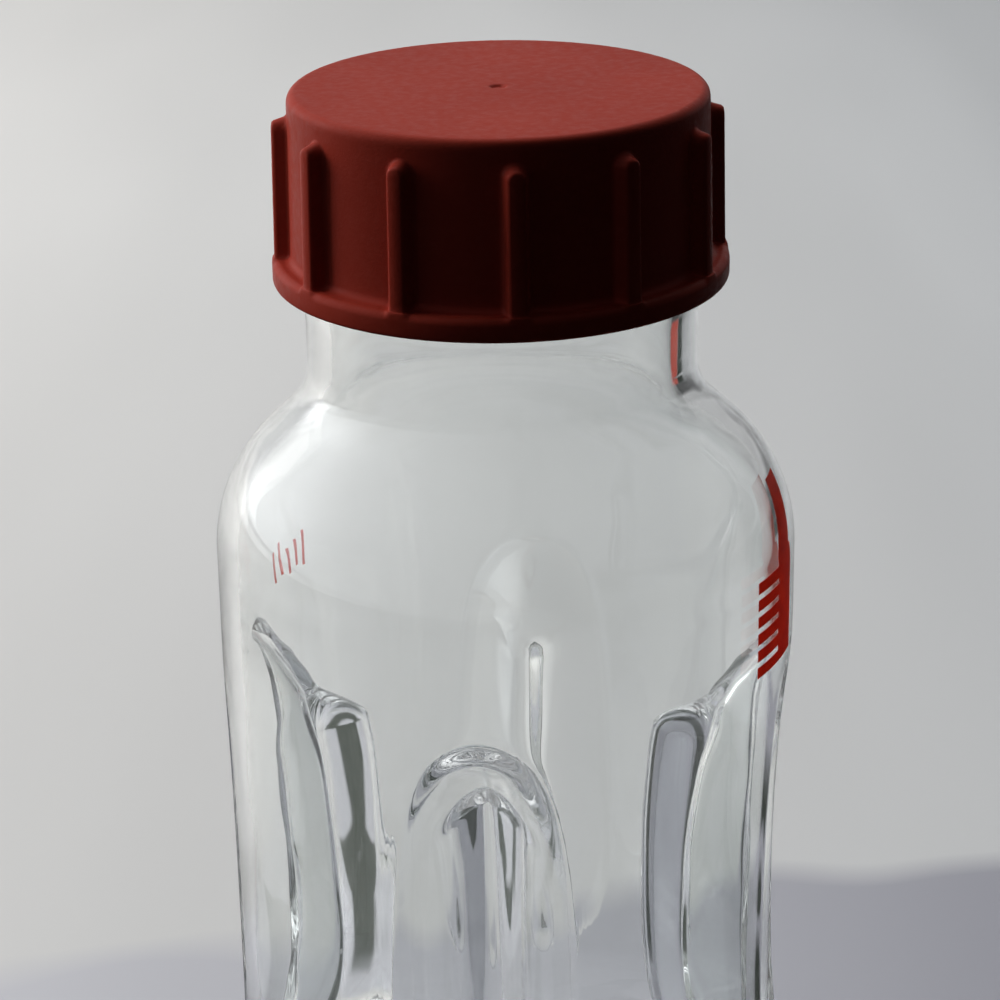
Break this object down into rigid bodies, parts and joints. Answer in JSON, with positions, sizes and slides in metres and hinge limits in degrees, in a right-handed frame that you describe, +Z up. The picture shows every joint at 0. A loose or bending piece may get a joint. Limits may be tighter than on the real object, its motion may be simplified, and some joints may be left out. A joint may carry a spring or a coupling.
{
  "type": "baffled laboratory bottle",
  "caption": "Clear glass baffled laboratory bottle with a ribbed red screw cap, a silicone seal with a PTFE facing, and baffles pressed into its wall.",
  "frame": {"origin": "centre of the base ring, on the surface the bottle stands on", "axes": "+Z up along the bottle's axis; -Y is the front, which faces one of the pressed baffles to within 6 degrees; +X is the bottle's right seen from the front"},
  "size_m": [0.07, 0.07, 0.142],
  "materials": {
    "clear_glass": "clear polished borosilicate",
    "red_plastic": "satin moulded",
    "pale_silicone": "smooth matt",
    "white_ptfe": "smooth waxy"
  },
  "bodies": {
    "bottle": {"bottle": "clear_glass"},
    "seal": {"silicone_seal": "pale_silicone", "ptfe_facing": "white_ptfe"},
    "cap": {"screw_cap": "red_plastic"}
  },
  "joints": [
    {"name": "seal_lift", "type": "slide", "parent": "bottle", "child": "seal", "axis": [0, 0, 1], "range_m": [0, 0.0221]},
    {"name": "cap_turn", "type": "hinge", "parent": "seal", "child": "cap", "pos_m": [0, 0, 0.13], "axis": [0, 0, 1], "range_deg": [0, 1980]}
  ],
  "couplings": [
    {"joint": "seal_lift", "follows": "cap_turn", "m_per_rad": 0.00063662}
  ]
}
